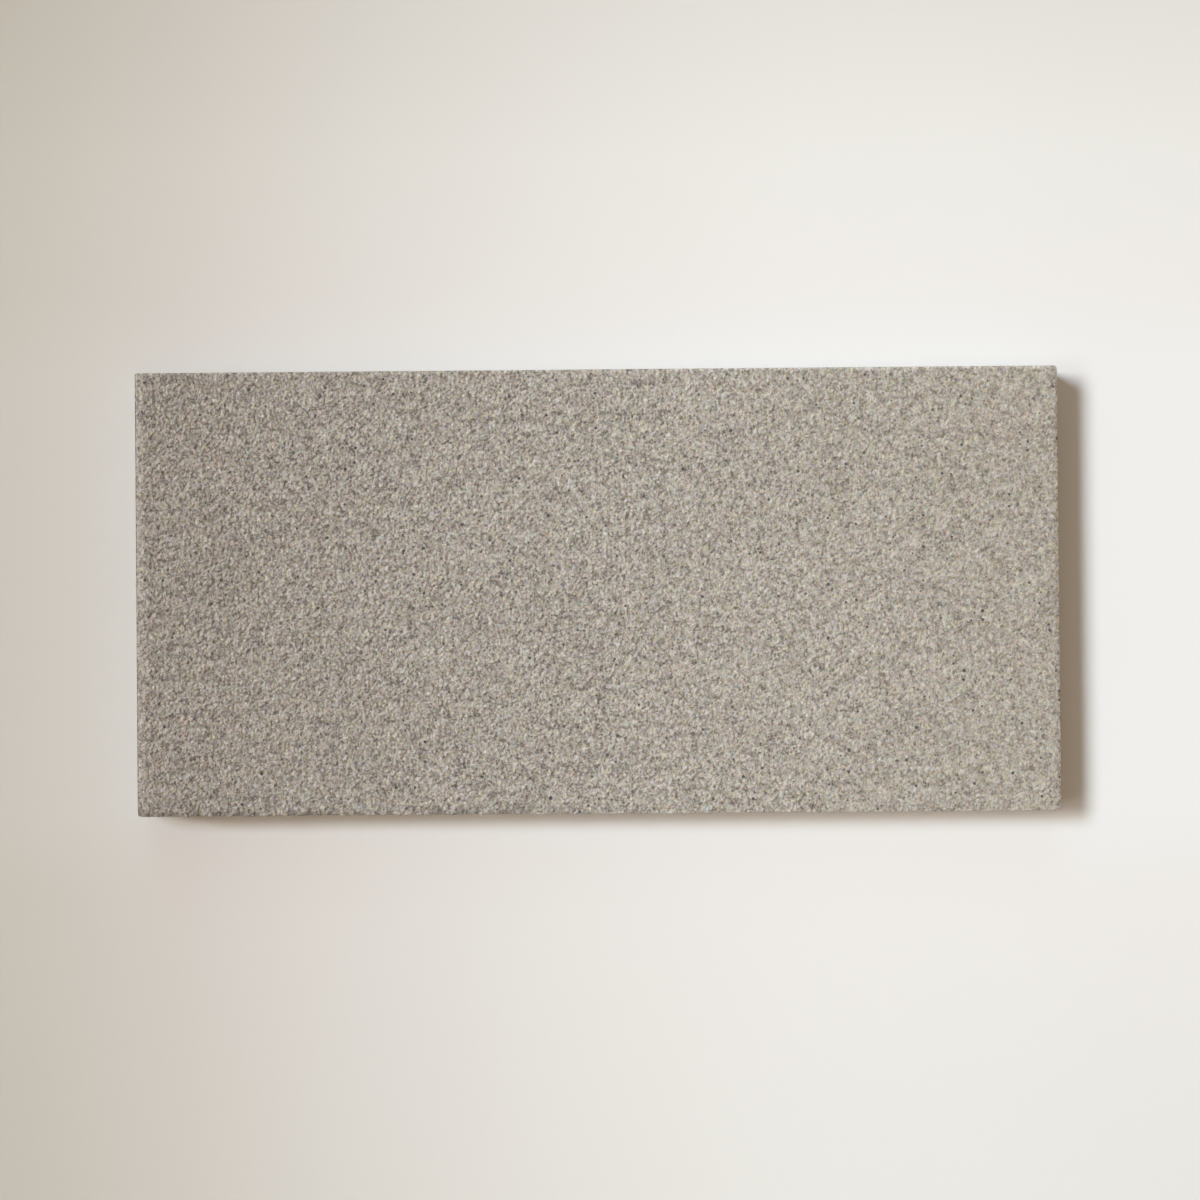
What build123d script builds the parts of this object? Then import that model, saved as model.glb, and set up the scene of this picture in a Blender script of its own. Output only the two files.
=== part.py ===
"""Extruded clinker floor tile, unglazed, fired as one piece.

Lengths are in millimetres. The tile lies face up: its length runs along X, its width along Y,
and its ribbed back stands on Z = 0, with the origin at the middle of the back.

Stiff clay leaves the die as an endless bar of this cross section, and a taut wire cuts it to
length. So the long edges and the keying grooves are straight and crisp, and the two short ends
are rolled over softly, where the wire came through the face.
"""

from build123d import *

import os
from math import radians, tan

# Overall size of the fired tile
tile_length = 240.0
tile_width = 115.6
tile_thickness = 10.0

# Long edges, as the die forms them
arris_radius = 0.5
back_easing = 0.7

# Short ends, as the cutting wire leaves them: how far each roll reaches over the face,
# and how far the face has dropped when it meets the end
left_roll_reach = 2.2
left_roll_drop = 0.6
right_roll_reach = 1.6
right_roll_drop = 0.2
end_lip_radius = 0.15
corner_radius = 0.4

# Dovetail keying grooves along the back, which hook the tile into its mortar bed
groove_pitch = 10.6
groove_mouth = 5.0
groove_depth = 1.8
groove_undercut_angle = 20.0
groove_root_radius = 0.35
side_rib_least = 4.5

# The grooves come in pairs, so that a rib always runs along the middle of the back
groove_root = groove_mouth + 2 * groove_depth * tan(radians(groove_undercut_angle))
groove_pairs = int((tile_width - 2 * side_rib_least) // (2 * groove_pitch))
groove_count = 2 * groove_pairs

# One groove: narrow at its mouth on the back, wider at its root inside the clay
with BuildSketch(mode=Mode.PRIVATE) as groove:
    with BuildLine():
        Polyline(
            (-groove_mouth / 2, 0),
            (-groove_root / 2, groove_depth),
            (groove_root / 2, groove_depth),
            (groove_mouth / 2, 0),
            close=True,
        )
    make_face()
    fillet(groove.vertices().group_by(Axis.Y)[-1], radius=groove_root_radius)

with BuildPart() as tile:
    # The bar from the die: rounded arrises beside the face, eased edges and grooves at the back
    with BuildSketch(Plane.YZ) as section:
        with Locations((0, tile_thickness / 2)):
            Rectangle(tile_width, tile_thickness)
        fillet(section.vertices().group_by(Axis.Y)[-1], radius=arris_radius)
        chamfer(section.vertices().group_by(Axis.Y)[0], length=back_easing)
        with GridLocations(groove_pitch, 0, groove_count, 1):
            add(groove.sketch, mode=Mode.SUBTRACT)
    extrude(amount=tile_length / 2, both=True)

    # The side view: each short end rolls over from the face in an arc that starts tangent to it
    with BuildSketch(Plane.XZ) as side_view:
        with BuildLine():
            left_end = -tile_length / 2
            right_end = tile_length / 2
            left_lip = (left_end, tile_thickness - left_roll_drop)
            right_lip = (right_end, tile_thickness - right_roll_drop)
            face_start = (left_end + left_roll_reach, tile_thickness)
            face_stop = (right_end - right_roll_reach, tile_thickness)
            Line(face_start, face_stop)
            TangentArc(face_start, left_lip, tangent=(-1, 0))
            TangentArc(face_stop, right_lip, tangent=(1, 0))
            Line(left_lip, (left_end, 0))
            Line((left_end, 0), (right_end, 0))
            Line((right_end, 0), right_lip)
        make_face()
        left_corners = side_view.vertices().group_by(Axis.X)[0]
        right_corners = side_view.vertices().group_by(Axis.X)[-1]
        lips = [left_corners.sort_by(Axis.Y)[-1], right_corners.sort_by(Axis.Y)[-1]]
        fillet(lips, radius=end_lip_radius)
        chamfer(side_view.vertices().group_by(Axis.Y)[0], length=back_easing)
    extrude(amount=tile_width, both=True, mode=Mode.INTERSECT)

    # The plan: the four upright corners are barely worn
    with BuildSketch(Plane.XY) as plan:
        RectangleRounded(tile_length, tile_width, radius=corner_radius)
    extrude(amount=tile_thickness, mode=Mode.INTERSECT)

tile.part.label = "tile"

os.makedirs("parts", exist_ok=True)
export_step(tile.part, "parts/tile.step")
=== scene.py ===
"""Clinker floor tile: its fired surface, the light and the camera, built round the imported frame.

Lengths are in metres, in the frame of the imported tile: X along its length, Y across its width,
and Z up from its ribbed back, which lies on Z = 0. The tile is one closed skin of fired clay,
worked out as numpy grids and worn by a few layers of relief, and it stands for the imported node.
"""

import itertools
import logging
import math
from dataclasses import dataclass, field

import bmesh
import bpy
import numpy as np
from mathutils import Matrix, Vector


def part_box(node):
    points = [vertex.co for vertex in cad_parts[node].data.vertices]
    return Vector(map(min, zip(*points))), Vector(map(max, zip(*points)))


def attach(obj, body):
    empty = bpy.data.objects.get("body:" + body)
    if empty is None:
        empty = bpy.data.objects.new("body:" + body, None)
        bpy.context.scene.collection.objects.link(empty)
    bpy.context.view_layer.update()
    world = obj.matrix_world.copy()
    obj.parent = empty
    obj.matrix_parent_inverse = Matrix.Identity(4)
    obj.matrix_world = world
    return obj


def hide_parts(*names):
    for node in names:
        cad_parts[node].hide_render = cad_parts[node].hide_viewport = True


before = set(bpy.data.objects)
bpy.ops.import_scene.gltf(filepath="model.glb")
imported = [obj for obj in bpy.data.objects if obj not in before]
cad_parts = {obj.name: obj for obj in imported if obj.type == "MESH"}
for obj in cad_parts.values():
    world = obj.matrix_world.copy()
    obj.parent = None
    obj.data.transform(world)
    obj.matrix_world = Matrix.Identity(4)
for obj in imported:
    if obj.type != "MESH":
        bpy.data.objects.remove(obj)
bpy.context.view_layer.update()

log = logging.getLogger("clinker_tile")

MM = 0.001
Array = np.ndarray
Colour = tuple[float, float, float]
Pair = tuple[float, float]
Socket = bpy.types.NodeSocket

WHITE: Colour = (1.0, 1.0, 1.0)

# Places closer together than this, in metres, are one place
TOLERANCE = 1e-6

# The hollow number of the deepest painted shade
DEEPEST = 1.6

# What mixes the numbers of a lattice point, within 32 bits
BITS = 0xFFFFFFFF
AXIS_FACTORS = (0x8DA6B343, 0xD8163841, 0xCB1AB31F)
SEED_FACTOR = 0x9E3779B1
SCRAMBLES = ((15, 0x2C1B3C6D), (12, 0x297A2D39), (15, 1))


# Noise fields, worked out for whole arrays of points


def hashed(cells: Array, seed: int) -> Array:
    """A steady random value from 0 to 1 for each lattice point.

    The three whole numbers of a lattice point and the seed are multiplied and added up, and the
    sum is then shifted and multiplied three times.

    Args:
        cells: Lattice points, whole numbers, shape (..., 3).
        seed: Picks one of many lattices.

    Returns:
        One value for each lattice point, shape (...).
    """
    mixed = seed * SEED_FACTOR
    for part, factor in zip(np.moveaxis(cells.astype(np.int64), -1, 0) & BITS, AXIS_FACTORS):
        mixed = mixed + part * factor
    mixed = mixed & BITS
    for shift, factor in SCRAMBLES:
        mixed = ((mixed ^ (mixed >> shift)) * factor) & BITS
    return mixed / float(BITS)


def ramp_between(values: Array, low: float, high: float) -> Array:
    """0 below `low`, 1 above `high` and a smooth cubic step between them."""
    part = np.clip((values - low) / (high - low), 0, 1)
    return part * part * (3 - 2 * part)


@dataclass(frozen=True)
class Noise:
    """Smooth noise from 0 to 1.

    Attributes:
        cell: The lattice's cell, one size or one for each axis, in metres.
        seed: Picks the lattice.
    """

    cell: float | tuple[float, float, float]
    seed: int

    def at(self, points: Array) -> Array:
        """The noise at these points.

        Random values stand at the corners of a lattice, and a point blends the eight round it
        with the cubic step 3t^2 - 2t^3 along each axis.

        Args:
            points: Places in metres, shape (n, 3).

        Returns:
            One value for each point, shape (n,).
        """
        scaled = points / np.asarray(self.cell, float)
        corner = np.floor(scaled).astype(np.int64)
        part = scaled - corner
        step = part * part * (3 - 2 * part)
        total = np.zeros(len(points))
        for offset in itertools.product((0, 1), repeat=3):
            side = np.asarray(offset)
            weight = np.prod(np.where(side == 1, step, 1 - step), axis=1)
            total += weight * hashed(corner + side, self.seed)
        return total


@dataclass(frozen=True)
class Pits:
    """Scattered round hollows.

    Attributes:
        spacing: The lattice's cell in metres.
        radius: The largest hollow's radius in metres; the smallest is half of it.
        share: The part of the cells that hold a hollow, from 0 to 1.
        seed: Picks the lattice.
    """

    spacing: float
    radius: float
    share: float
    seed: int

    def at(self, points: Array) -> Array:
        """How deep these points lie in a hollow, from 0 outside them to 1 at their deepest.

        Each lattice cell may hold one hollow at a random place with a random radius r. Its depth
        at a distance d is (1 - (d/r)^2)^2, and the deepest of the 27 cells round a point counts.

        Args:
            points: Places in metres, shape (n, 3).

        Returns:
            One value for each point, shape (n,).
        """
        home = np.floor(points / self.spacing).astype(np.int64)
        deepest = np.zeros(len(points))
        for offset in itertools.product((-1, 0, 1), repeat=3):
            cell = home + np.asarray(offset)
            inside = np.stack([hashed(cell, self.seed + axis) for axis in range(3)], axis=1)
            reach = self.radius * (0.5 + 0.5 * hashed(cell, self.seed + 3))
            squared = ((points - (cell + inside) * self.spacing) ** 2).sum(axis=1) / reach**2
            bowl = np.clip(1 - squared, 0, None) ** 2
            held = hashed(cell, self.seed + 4) < self.share
            deepest = np.maximum(deepest, np.where(held, bowl, 0))
        return deepest


# The edges of the tile, as chains of stations from the edge inwards


@dataclass(frozen=True)
class Arris:
    """A rounded long edge of the face, a quarter circle from the upright side to the face.

    Attributes:
        radius: The quarter circle's radius.
        cells: The number of steps round it.
    """

    radius: float = 0.5 * MM
    cells: int = 4

    def chain(self) -> tuple[Array, Array]:
        """Insets from the side and drops below the face, r(1 - sin a) and r(1 - cos a)."""
        turn = np.linspace(math.pi / 2, 0, self.cells + 1)
        return self.radius * (1 - np.sin(turn)), self.radius * (1 - np.cos(turn))


@dataclass(frozen=True)
class EndRoll:
    """A short end, where the cutting wire rolled the face over.

    The roll is an arc tangent to the face, of radius (reach^2 + drop^2) / (2 drop). A smaller arc,
    the lip, is tangent to the roll and to the upright end.

    Attributes:
        reach: How far the roll reaches over the face.
        drop: How far the face would have dropped at the end, without the lip.
        lip: The lip's radius.
        roll_cells: The number of steps along the roll.
        lip_cells: The number of steps round the lip.
    """

    reach: float
    drop: float
    lip: float = 0.15 * MM
    roll_cells: int = 5
    lip_cells: int = 3

    def chain(self) -> tuple[Array, Array]:
        """The stations of the lip and then of the roll.

        Returns:
            Insets from the end and drops below the face.
        """
        radius = (self.reach**2 + self.drop**2) / (2 * self.drop)
        meet = math.asin((self.reach - self.lip) / (radius - self.lip))
        lip_centre = radius - (radius - self.lip) * math.cos(meet)
        lip = np.linspace(math.pi / 2, meet, self.lip_cells + 1)[:-1]
        roll = np.linspace(meet, 0, self.roll_cells + 1)
        inset = np.concatenate([self.lip * (1 - np.sin(lip)), self.reach - radius * np.sin(roll)])
        drop = np.concatenate([lip_centre - self.lip * np.cos(lip), radius * (1 - np.cos(roll))])
        return inset, drop


@dataclass(frozen=True)
class KeyingGrooves:
    """The dovetail grooves of the back, narrow at the mouth and wider at the root.

    Attributes:
        pitch: The distance from groove to groove.
        mouth: A groove's width at the back.
        depth: A groove's depth.
        undercut: The lean of its walls, in degrees.
        mouth_round: How far the rounding of a mouth's corner reaches along both of its sides.
        root_round: The same at the root's corner.
        least_rib: The least width that is left beside the outermost grooves.
        root_cells: The number of steps across a root.
        half_rib_cells: The number of steps across half a rib.
    """

    pitch: float = 10.6 * MM
    mouth: float = 5.0 * MM
    depth: float = 1.8 * MM
    undercut: float = 20.0
    mouth_round: float = 0.2 * MM
    root_round: float = 0.3 * MM
    least_rib: float = 4.5 * MM
    root_cells: int = 8
    half_rib_cells: int = 4

    def centres(self, width: float) -> Array:
        """The grooves' middles across a tile of this width. They come in pairs."""
        count = 2 * int((width - 2 * self.least_rib) // (2 * self.pitch))
        return (np.arange(count) - (count - 1) / 2) * self.pitch

    def wall(self, easing: float) -> tuple[Array, Array]:
        """Half widths and heights of a groove's wall from its mouth to its root.

        Each corner is rounded by the middle point of a quadratic curve whose control point is the
        sharp corner. One station lies at the height of the tile's eased lower edge.

        Args:
            easing: The height of that edge.

        Returns:
            Half widths and heights, each of 7 stations.
        """
        lean = math.tan(math.radians(self.undercut))
        mouth_corner = np.array([self.mouth / 2, 0.0])
        root_corner = np.array([self.mouth / 2 + self.depth * lean, self.depth])
        up = (root_corner - mouth_corner) / np.linalg.norm(root_corner - mouth_corner)
        across = np.array([1.0, 0.0])
        below = mouth_corner + self.mouth_round * across
        above = mouth_corner + self.mouth_round * up
        under = root_corner - self.root_round * up
        inside = root_corner - self.root_round * across
        chain = np.array([
            below,
            (below + 2 * mouth_corner + above) / 4,
            above,
            mouth_corner + up * easing / up[1],
            under,
            (under + 2 * root_corner + inside) / 4,
            inside,
        ])
        return chain[:, 0], chain[:, 1]


# The skin, as grids of points that share their borders


@dataclass(frozen=True)
class Grid:
    """A patch of the skin: a grid of points with their places on the flat map.

    Attributes:
        points: Places in metres, shape (rows, columns, 3).
        flat: Places on the map in metres, shape (rows, columns, 2).
    """

    points: Array
    flat: Array

    def quads(self) -> Array:
        """The corners of its cells.

        Returns:
            The numbers of its points, counted in reading order, shape (n, 4).
        """
        rows, columns = self.points.shape[:2]
        number = np.arange(rows * columns).reshape(rows, columns)
        around = [number[:-1, :-1], number[:-1, 1:], number[1:, 1:], number[1:, :-1]]
        return np.stack([corner.ravel() for corner in around], axis=1)


def stations(
    length: float, low: tuple[Array, Array], high: tuple[Array, Array], cells: int
) -> tuple[Array, Array]:
    """Places and drops from one edge to the other.

    Args:
        length: The distance between the two edges.
        low: The chain of insets and drops at the lower edge.
        high: The same at the upper edge.
        cells: The number of even steps across the flat between them.

    Returns:
        Places from -length/2 to length/2, and the drop below the face at each.
    """
    flat = np.linspace(low[0][-1] - length / 2, length / 2 - high[0][-1], cells + 1)
    place = np.concatenate([low[0][:-1] - length / 2, flat, length / 2 - high[0][-2::-1]])
    drop = np.concatenate([low[1][:-1], np.zeros(cells + 1), high[1][-2::-1]])
    return place, drop


def unrolled(first: Array, second: Array) -> Array:
    """The distance along a chain of points, from 0 at its start."""
    return np.concatenate([[0.0], np.cumsum(np.hypot(np.diff(first), np.diff(second)))])


@dataclass
class TileSkin:
    """The closed skin of the tile before it is worn, in grids with shared borders.

    Attributes:
        length: Along X, from the frame.
        width: Along Y, from the frame.
        thickness: Along Z, from the frame.
        near: The long edge of the face at -Y, which is nearly sharp.
        far: The long edge of the face at +Y.
        left: The short end at -X.
        right: The short end at +X.
        grooves: The grooves of the back.
        easing: The chamfer round the lower edge.
        corner: The radius of the four upright corners, seen from above.
        face_cell: The size of the face's cells.
        side_rows: The rows of cells down the sides and ends, above the grooves' roots.
        back_stride: How many of the face's cells one cell of the back is long.
        squeeze_band: The length at each end over which stations give way to the easing.
        map_gap: The space between the patches on the flat map.
    """

    length: float
    width: float
    thickness: float
    near: Arris = Arris(radius=0.12 * MM, cells=3)
    far: Arris = Arris()
    left: EndRoll = EndRoll(reach=2.2 * MM, drop=0.6 * MM)
    right: EndRoll = EndRoll(reach=1.8 * MM, drop=0.3 * MM)
    grooves: KeyingGrooves = KeyingGrooves()
    easing: float = 0.7 * MM
    corner: float = 0.4 * MM
    face_cell: float = 0.71 * MM
    side_rows: int = 9
    back_stride: int = 5
    squeeze_band: float = 4.0 * MM
    map_gap: float = 1.5 * MM

    def __post_init__(self) -> None:
        """Works out the stations that all the patches share."""
        flat_length = self.length - self.left.reach - self.right.reach
        self.x, self.x_drop = stations(
            self.length, self.left.chain(), self.right.chain(), round(flat_length / self.face_cell)
        )
        self.centres = self.grooves.centres(self.width)
        self.half, self.height = self.grooves.wall(self.easing)
        self.level = self.level_line()
        cells = len(self.level) - 1 - self.near.cells - self.far.cells
        self.y, self.y_drop = stations(self.width, self.near.chain(), self.far.chain(), cells)
        self.coarse = self.coarse_columns()

    def inset(self, height: float | Array) -> float | Array:
        """How far the eased lower edge stands back at this height."""
        return np.clip(self.easing - height, 0, None)

    def level_line(self) -> Array:
        """The stations across the ends at the height of the grooves' roots.

        Returns:
            Places along Y, from side to side.
        """
        half_rib, root, pitch = self.grooves.half_rib_cells, self.grooves.root_cells, self.grooves.pitch
        flat = self.half[-1]
        one = np.concatenate([
            np.linspace(-pitch / 2, -flat, half_rib + 1)[:-1],
            np.linspace(-flat, flat, root + 1)[:-1],
            np.linspace(flat, pitch / 2, half_rib + 1)[:-1],
        ])
        edge = self.centres[-1] + pitch / 2
        beside = max(1, round((self.width / 2 - edge) / self.face_cell)) + self.far.cells
        outer = np.linspace(edge, self.width / 2, beside + 1)
        return np.concatenate([-outer[:0:-1], (self.centres[:, None] + one).ravel(), outer])

    def coarse_columns(self) -> Array:
        """The numbers of the stations along X that the back keeps.

        Returns:
            Whole numbers: both ends, and about every fifth station between the two rolls.
        """
        first, last = len(self.left.chain()[0]) - 1, len(self.x) - len(self.right.chain()[0])
        inner = np.linspace(first, last, 1 + (last - first) // self.back_stride).round().astype(int)
        return np.concatenate([[0], inner, [len(self.x) - 1]])

    def squeezed(self, x: Array, height: float | Array) -> Array:
        """Places along X at this height, drawn in near the ends by the easing.

        A station at the end moves in by the easing's inset, one at the inner side of the band not
        at all, and the others in proportion.

        Args:
            x: The stations.
            height: The height of each, or of all.

        Returns:
            The places.
        """
        near = np.clip(np.abs(x) - (self.length / 2 - self.squeeze_band), 0, None) / self.squeeze_band
        return np.sign(x) * (np.abs(x) - self.inset(height) * near)

    def face(self) -> Grid:
        """The face with its arrises and rolls: z is the thickness less the drops along X and Y.

        Returns:
            The patch, with a row for each station along X and a column for each along Y.
        """
        x, y = np.meshgrid(self.x, self.y, indexing="ij")
        z = self.thickness - self.x_drop[:, None] - self.y_drop[None, :]
        over, across = unrolled(self.x, self.x_drop), unrolled(self.y, self.y_drop)
        flat = np.stack(np.meshgrid(over, across, indexing="ij"), axis=-1)
        return Grid(np.stack([x, y, z], axis=-1), flat)

    def side(self, sign: int) -> Grid:
        """A long side, in rows from the arris down to the last row of a groove's mouth.

        The rows above the roots share the height evenly, and those below lie at the heights of
        the grooves' wall and stand back by the easing.

        Args:
            sign: 1 for the side at +Y, -1 for the one at -Y.

        Returns:
            The patch, with one column for each station along X.
        """
        top = self.thickness - self.x_drop - (self.far if sign > 0 else self.near).radius
        down = np.linspace(0, 1, self.side_rows + 1)[:, None]
        upper = top + (self.grooves.depth - top) * down
        lower = np.repeat(self.height[-2:0:-1, None], len(self.x), axis=1)
        z = np.concatenate([upper, lower])
        x = self.squeezed(np.broadcast_to(self.x, z.shape), z)
        y = sign * (self.width / 2 - self.inset(z))
        flat = np.stack([np.broadcast_to(self.x + self.length / 2, z.shape), self.thickness - z], axis=-1)
        return Grid(np.stack([x, y, z], axis=-1), flat)

    def end(self, sign: int) -> Grid:
        """A short end above the roots: rows go evenly from the roll's edge to the level line.

        Args:
            sign: 1 for the end at +X, -1 for the one at -X.

        Returns:
            The patch, with one column for each station along Y.
        """
        drop = self.x_drop[-1] if sign > 0 else self.x_drop[0]
        down = np.linspace(0, 1, self.side_rows + 1)[:, None]
        top = self.thickness - drop - self.y_drop
        z = top * (1 - down) + self.grooves.depth * down
        y = self.y * (1 - down) + self.level * down
        x = np.full_like(z, sign * self.length / 2)
        flat = np.stack([y + self.width / 2, self.thickness - z], axis=-1)
        return Grid(np.stack([x, y, z], axis=-1), flat)

    def ribs(self) -> list[tuple[Array, Array, Array]]:
        """The ribs between the grooves, and the two beside the outermost ones.

        Returns:
            For each rib, its bounds on both sides at the wall's heights, and its stations as
            fractions of its width.
        """
        outer = self.width / 2 - self.inset(self.height)
        low = [-outer, *(centre + self.half for centre in self.centres)]
        high = [*(centre - self.half for centre in self.centres), outer]
        found = []
        for start, stop in zip(low, high):
            held = (self.level > start[-1] - TOLERANCE) & (self.level < stop[-1] + TOLERANCE)
            found.append((start, stop, (self.level[held] - start[-1]) / (stop[-1] - start[-1])))
        return found

    def rib_ends(self, sign: int) -> list[Grid]:
        """The ends of the ribs below the level line, in rows at the wall's heights.

        Args:
            sign: 1 for the end at +X, -1 for the one at -X.

        Returns:
            One patch for each rib.
        """
        grids = []
        z = self.height[::-1, None]
        for start, stop, part in self.ribs():
            y = start[::-1, None] + part * (stop - start)[::-1, None]
            depth = np.broadcast_to(z, y.shape)
            x = sign * (self.length / 2 - self.inset(depth))
            flat = np.stack([y + self.width / 2, self.thickness - depth], axis=-1)
            grids.append(Grid(np.stack([x, y, depth], axis=-1), flat))
        return grids

    def back_chain(self) -> tuple[Array, Array]:
        """The section of the back from side to side, over ribs, walls and roots.

        Returns:
            Places along Y and heights.
        """
        flat = self.half[-1]
        root = np.linspace(-flat, flat, self.grooves.root_cells + 1)[1:-1]
        y, z = [], []
        ribs = self.ribs()
        for number, (start, stop, part) in enumerate(ribs):
            y.append(start[0] + part * (stop[0] - start[0]))
            z.append(np.zeros(len(part)))
            if number < len(ribs) - 1:
                centre = self.centres[number]
                y += [centre - self.half[1:], centre + root, centre + self.half[:0:-1]]
                z += [self.height[1:], np.full(len(root), self.grooves.depth), self.height[:0:-1]]
        return np.concatenate(y), np.concatenate(z)

    def back(self) -> Grid:
        """The back: its section is carried along the coarse stations.

        Returns:
            The patch, with a row for each coarse station and a column for each point of the section.
        """
        y, z = self.back_chain()
        x = self.squeezed(self.x[self.coarse][:, None], z[None, :])
        points = np.stack([x, *(np.broadcast_to(part, x.shape) for part in (y, z))], axis=-1)
        along = np.broadcast_to((self.x[self.coarse] + self.length / 2)[:, None], x.shape)
        across = np.broadcast_to(unrolled(y, z), x.shape)
        return Grid(points, np.stack([along, across], axis=-1))

    def rounded(self, points: Array) -> Array:
        """Points with the four upright corners rounded.

        In the square of one corner radius at each corner, with a and b counted from 0 at its
        inner corner to 1 at its outer one, a point moves along its ray to the distance max(a, b).

        Args:
            points: Places on the skin with sharp corners, shape (n, 3).

        Returns:
            The moved places, shape (n, 3).
        """
        inner = np.array([self.length / 2, self.width / 2]) - self.corner
        part = np.clip(np.abs(points[:, :2]) - inner, 0, None) / self.corner
        far = np.hypot(part[:, 0], part[:, 1])
        share = np.where((part > 0).all(axis=1), part.max(axis=1) / np.maximum(far, TOLERANCE), 1.0)
        moved = points.copy()
        held = np.minimum(np.abs(points[:, :2]), inner)
        moved[:, :2] = np.sign(points[:, :2]) * (held + part * self.corner * share[:, None])
        return moved

    def mesh(self, name: str) -> bpy.types.Mesh:
        """The whole skin as one closed mesh with a flat map.

        Args:
            name: The mesh's name.

        Returns:
            The mesh, with its borders merged and its faces pointing outwards.
        """
        sheets = [self.face(), self.side(1), self.side(-1), self.end(1), self.end(-1)]
        sheets += [*self.rib_ends(1), *self.rib_ends(-1), self.back()]
        places = FlatMap(self).places(sheets)
        points = np.concatenate([sheet.points.reshape(-1, 3) for sheet in sheets])
        starts = np.cumsum([0] + [sheet.points[..., 0].size for sheet in sheets])
        quads = np.concatenate([sheet.quads() + start for sheet, start in zip(sheets, starts)])
        triangles = np.concatenate([self.strip(sheets, starts, sign) for sign in (1, -1)])
        mesh = bpy.data.meshes.new(name)
        mesh.from_pydata(self.rounded(points), [], quads.tolist() + triangles.tolist())
        corners = np.concatenate([quads.ravel(), triangles.ravel()])
        layer = mesh.uv_layers.new(name=FlatMap.NAME)
        layer.uv.foreach_set("vector", places[corners].astype(np.float32).ravel())
        work = bmesh.new()
        work.from_mesh(mesh)
        bmesh.ops.remove_doubles(work, verts=work.verts, dist=TOLERANCE)
        bmesh.ops.recalc_face_normals(work, faces=work.faces)
        work.to_mesh(mesh)
        work.free()
        return mesh

    def strip(self, sheets: list[Grid], starts: Array, sign: int) -> Array:
        """The triangles between a side's fine lowest row and the back's coarse border.

        Each fine step is joined to the nearest coarse station, and each coarse step to the fine
        station at its middle.

        Args:
            sheets: The patches: the face, both sides, the others, and the back.
            starts: The number of each patch's first point.
            sign: The side, 1 or -1.

        Returns:
            The numbers of the triangles' points, shape (n, 3).
        """
        side = 1 if sign > 0 else 2
        rows, columns = sheets[side].points.shape[:2]
        fine = starts[side] + (rows - 1) * columns + np.arange(columns)
        border = sheets[-1].points.shape[1]
        column = border - 1 if sign > 0 else 0
        coarse = starts[len(sheets) - 1] + np.arange(len(self.coarse)) * border + column
        middle = (self.coarse[:-1] + self.coarse[1:]) // 2
        nearest = np.searchsorted(middle, np.arange(columns - 1), side="right")
        fans = np.stack([fine[:-1], fine[1:], coarse[nearest]], axis=1)
        gaps = np.stack([coarse[:-1], coarse[1:], fine[middle]], axis=1)
        return np.concatenate([fans, gaps])


@dataclass(frozen=True)
class FlatMap:
    """Lays the patches of the skin on one square, the face largest and the back drawn in.

    Attributes:
        skin: The skin whose patches are laid out.
    """

    NAME = "OFBake"

    # The face, two sides, two ends and the back
    BESIDES_RIBS = 6

    skin: TileSkin

    def places(self, sheets: list[Grid]) -> Array:
        """The place on the square of every point of every patch.

        The face lies lowest, then the two sides, then both ends beside each other, and the back
        takes what is left. A place in metres is divided by the square's side.

        Args:
            sheets: The face, both sides, both ends, their rib ends, and the back, in this order.

        Returns:
            Places from 0 to 1, shape (n, 2).
        """
        skin, gap = self.skin, self.skin.map_gap
        face, back = sheets[0], sheets[-1]
        side_length = face.flat[..., 0].max() + 2 * gap
        origins = [np.array([gap, gap])]
        level = gap + face.flat[..., 1].max() + gap
        for _ in range(2):
            origins.append(np.array([gap, level]))
            level += skin.thickness + gap
        ends = [np.array([gap, level]), np.array([side_length / 2 + gap / 2, level])]
        level += skin.thickness + gap
        ribs = (len(sheets) - self.BESIDES_RIBS) // 2
        origins += ends + [ends[0]] * ribs + [ends[1]] * ribs + [np.array([gap, level])]
        squash = (side_length - level - gap) / back.flat[..., 1].max()
        laid = []
        for number, (sheet, origin) in enumerate(zip(sheets, origins)):
            scale = np.array([1.0, squash if number == len(sheets) - 1 else 1.0])
            laid.append((sheet.flat.reshape(-1, 2) * scale + origin) / side_length)
        return np.concatenate(laid)


# Relief and wear


@dataclass(frozen=True)
class Nick:
    """A small place where the edge has broken away.

    Attributes:
        centre: Its middle, in metres.
        radius: How far it reaches.
        depth: How deep it is.
    """

    centre: tuple[float, float, float]
    radius: float
    depth: float


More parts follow.
